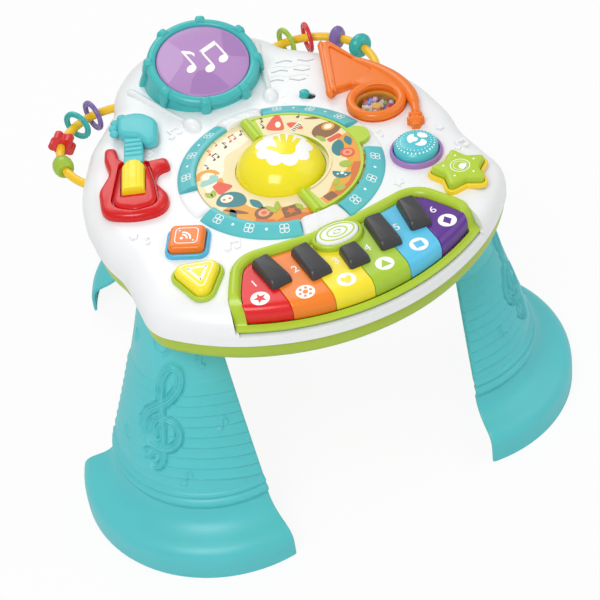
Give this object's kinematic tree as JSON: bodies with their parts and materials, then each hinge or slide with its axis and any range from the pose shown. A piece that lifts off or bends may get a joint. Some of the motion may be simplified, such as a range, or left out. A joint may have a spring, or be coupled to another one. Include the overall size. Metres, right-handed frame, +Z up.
{
  "type": "musical activity table",
  "caption": "Low toddler play table on three C-section legs: drum, flip page ring with dome button, keyboard, guitar, horn spinner, shaped buttons and bead rails.",
  "frame": {"origin": "middle of the footprint on the floor, midway between the outermost points", "axes": "+Z up, +Y to the back where the drum stands, the keyboard faces -Y, +X to the right as seen from the keyboard"},
  "size_m": [0.5732, 0.5703, 0.3684],
  "materials": {
    "top_shell": "satin",
    "bottom_tray": "satin",
    "ring_arcs": "satin",
    "picture_disc": "printed",
    "page_flap": "satin",
    "dome_button": "satin",
    "drum_shell": "satin",
    "drum_head": "satin",
    "guitar_body": "satin",
    "guitar_neck": "satin",
    "guitar_saddle": "satin",
    "horn_body": "satin",
    "horn_cup": "satin",
    "spinner_dish": "satin",
    "spinner_paddles": "satin",
    "spinner_beads": "satin",
    "spinner_dome": "clear plastic",
    "keyboard_frame": "satin",
    "key_1": "satin",
    "key_2": "satin",
    "key_3": "satin",
    "key_4": "satin",
    "key_5": "satin",
    "key_6": "satin",
    "black_keys": "satin",
    "key_contacts": "matte",
    "mode_button": "printed",
    "square_base": "satin",
    "square_button": "satin",
    "triangle_base": "satin",
    "triangle_button": "satin",
    "round_base": "satin",
    "round_button": "satin",
    "star_base": "satin",
    "star_button": "satin",
    "power_switch": "satin",
    "left_rail": "satin",
    "left_barrel_bead": "satin",
    "left_flower_bead": "satin",
    "left_teal_ring": "satin",
    "left_purple_ring": "satin",
    "right_rail": "satin",
    "right_lime_ring": "satin",
    "right_red_ring": "satin",
    "right_barrel_bead": "satin",
    "right_cuff_bead": "satin",
    "leg_front_left": "satin",
    "leg_front_right": "satin",
    "leg_back": "satin",
    "circuit_board": "satin",
    "button_switches": "matte",
    "lamps": "diffuse",
    "speaker": "matte",
    "battery_cells": "satin",
    "battery_contacts": "bright",
    "battery_cover": "satin",
    "housing_screws": "bright"
  },
  "bodies": {
    "table": {"top_shell": "top_shell", "bottom_tray": "bottom_tray", "ring_arcs": "ring_arcs", "picture_disc": "picture_disc", "drum_shell": "drum_shell", "guitar_body": "guitar_body", "horn_body": "horn_body", "horn_cup": "horn_cup", "keyboard_frame": "keyboard_frame", "black_keys": "black_keys", "key_contacts": "key_contacts", "square_base": "square_base", "triangle_base": "triangle_base", "round_base": "round_base", "star_base": "star_base", "left_rail": "left_rail", "right_rail": "right_rail", "leg_front_left": "leg_front_left", "leg_front_right": "leg_front_right", "leg_back": "leg_back", "circuit_board": "circuit_board", "button_switches": "button_switches", "lamps": "lamps", "speaker": "speaker", "battery_cells": "battery_cells", "battery_contacts": "battery_contacts", "battery_cover": "battery_cover", "housing_screws": "housing_screws"},
    "page": {"page_flap": "page_flap"},
    "dome": {"dome_button": "dome_button"},
    "drumskin": {"drum_head": "drum_head"},
    "guitar_slider": {"guitar_neck": "guitar_neck", "guitar_saddle": "guitar_saddle"},
    "spinner": {"spinner_dish": "spinner_dish", "spinner_paddles": "spinner_paddles", "spinner_beads": "spinner_beads", "spinner_dome": "spinner_dome"},
    "mode": {"mode_button": "mode_button"},
    "square": {"square_button": "square_button"},
    "triangle": {"triangle_button": "triangle_button"},
    "round": {"round_button": "round_button"},
    "star": {"star_button": "star_button"},
    "switch": {"power_switch": "power_switch"},
    "key1": {"key_1": "key_1"},
    "key2": {"key_2": "key_2"},
    "key3": {"key_3": "key_3"},
    "key4": {"key_4": "key_4"},
    "key5": {"key_5": "key_5"},
    "key6": {"key_6": "key_6"},
    "left_barrel_bead_body": {"left_barrel_bead": "left_barrel_bead"},
    "left_flower_bead_body": {"left_flower_bead": "left_flower_bead"},
    "left_teal_ring_body": {"left_teal_ring": "left_teal_ring"},
    "left_purple_ring_body": {"left_purple_ring": "left_purple_ring"},
    "right_lime_ring_body": {"right_lime_ring": "right_lime_ring"},
    "right_red_ring_body": {"right_red_ring": "right_red_ring"},
    "right_barrel_bead_body": {"right_barrel_bead": "right_barrel_bead"},
    "right_cuff_bead_body": {"right_cuff_bead": "right_cuff_bead"}
  },
  "joints": [
    {"name": "dome_press", "type": "slide", "parent": "table", "child": "dome", "axis": [0, 0, -1], "range_m": [0, 0.003], "stiffness_N_per_m": 400, "springref_m": -0.003},
    {"name": "drum_press", "type": "slide", "parent": "table", "child": "drumskin", "axis": [0, 0.2419, -0.9703], "range_m": [0, 0.003], "stiffness_N_per_m": 400, "springref_m": -0.003},
    {"name": "mode_press", "type": "slide", "parent": "table", "child": "mode", "axis": [0, 0, -1], "range_m": [0, 0.003], "stiffness_N_per_m": 400, "springref_m": -0.003},
    {"name": "square_press", "type": "slide", "parent": "table", "child": "square", "axis": [0, 0, -1], "range_m": [0, 0.003], "stiffness_N_per_m": 400, "springref_m": -0.003},
    {"name": "triangle_press", "type": "slide", "parent": "table", "child": "triangle", "axis": [0, 0, -1], "range_m": [0, 0.003], "stiffness_N_per_m": 400, "springref_m": -0.003},
    {"name": "round_press", "type": "slide", "parent": "table", "child": "round", "axis": [0, 0, -1], "range_m": [0, 0.003], "stiffness_N_per_m": 400, "springref_m": -0.003},
    {"name": "star_press", "type": "slide", "parent": "table", "child": "star", "axis": [0, 0, -1], "range_m": [0, 0.003], "stiffness_N_per_m": 400, "springref_m": -0.003},
    {"name": "key_1_press", "type": "hinge", "parent": "table", "child": "key1", "pos_m": [0, -0.17818, 0.313], "axis": [1, 0, 0], "range_deg": [0, 2.4], "stiffness_Nm_per_rad": 0.5, "springref_deg": -2.86},
    {"name": "key_2_press", "type": "hinge", "parent": "table", "child": "key2", "pos_m": [0, -0.17818, 0.313], "axis": [1, 0, 0], "range_deg": [0, 2.4], "stiffness_Nm_per_rad": 0.5, "springref_deg": -2.86},
    {"name": "key_3_press", "type": "hinge", "parent": "table", "child": "key3", "pos_m": [0, -0.17818, 0.313], "axis": [1, 0, 0], "range_deg": [0, 2.4], "stiffness_Nm_per_rad": 0.5, "springref_deg": -2.86},
    {"name": "key_4_press", "type": "hinge", "parent": "table", "child": "key4", "pos_m": [0, -0.17818, 0.313], "axis": [1, 0, 0], "range_deg": [0, 2.4], "stiffness_Nm_per_rad": 0.5, "springref_deg": -2.86},
    {"name": "key_5_press", "type": "hinge", "parent": "table", "child": "key5", "pos_m": [0, -0.17818, 0.313], "axis": [1, 0, 0], "range_deg": [0, 2.4], "stiffness_Nm_per_rad": 0.5, "springref_deg": -2.86},
    {"name": "key_6_press", "type": "hinge", "parent": "table", "child": "key6", "pos_m": [0, -0.17818, 0.313], "axis": [1, 0, 0], "range_deg": [0, 2.4], "stiffness_Nm_per_rad": 0.5, "springref_deg": -2.86},
    {"name": "page_turn", "type": "hinge", "parent": "table", "child": "page", "pos_m": [0, -0.07418, 0.3299], "axis": [0, -1, 0], "range_deg": [0, 180]},
    {"name": "guitar_slide", "type": "slide", "parent": "table", "child": "guitar_slider", "axis": [-0.3907, -0.9205, 0], "range_m": [0, 0.008]},
    {"name": "switch_slide", "type": "slide", "parent": "table", "child": "switch", "axis": [0.7431, -0.6691, 0], "range_m": [0, 0.007]},
    {"name": "spinner_turn", "type": "hinge", "parent": "table", "child": "spinner", "pos_m": [0.133, -0.03218, 0.309], "axis": [0, 0, 1], "continuous": true},
    {"name": "left_barrel_bead_slide", "type": "hinge", "parent": "table", "child": "left_barrel_bead_body", "pos_m": [-0.112, 0.07782, 0.305], "axis": [0, 0, 1], "range_deg": [-12, 8]},
    {"name": "left_flower_bead_slide", "type": "hinge", "parent": "table", "child": "left_flower_bead_body", "pos_m": [-0.112, 0.07782, 0.305], "axis": [0, 0, 1], "range_deg": [-17, 12]},
    {"name": "left_teal_ring_slide", "type": "hinge", "parent": "table", "child": "left_teal_ring_body", "pos_m": [-0.112, 0.07782, 0.305], "axis": [0, 0, 1], "range_deg": [-12, 18]},
    {"name": "left_purple_ring_slide", "type": "hinge", "parent": "table", "child": "left_purple_ring_body", "pos_m": [-0.112, 0.07782, 0.305], "axis": [0, 0, 1], "range_deg": [-7, 12]},
    {"name": "right_lime_ring_slide", "type": "hinge", "parent": "table", "child": "right_lime_ring_body", "pos_m": [0.112, 0.07782, 0.305], "axis": [0, 0, 1], "range_deg": [-12, 3]},
    {"name": "right_red_ring_slide", "type": "hinge", "parent": "table", "child": "right_red_ring_body", "pos_m": [0.112, 0.07782, 0.305], "axis": [0, 0, 1], "range_deg": [-18, 12]},
    {"name": "right_barrel_bead_slide", "type": "hinge", "parent": "table", "child": "right_barrel_bead_body", "pos_m": [0.112, 0.07782, 0.305], "axis": [0, 0, 1], "range_deg": [-10, 18]},
    {"name": "right_cuff_bead_slide", "type": "hinge", "parent": "table", "child": "right_cuff_bead_body", "pos_m": [0.112, 0.07782, 0.305], "axis": [0, 0, 1], "range_deg": [-16, 10]}
  ]
}
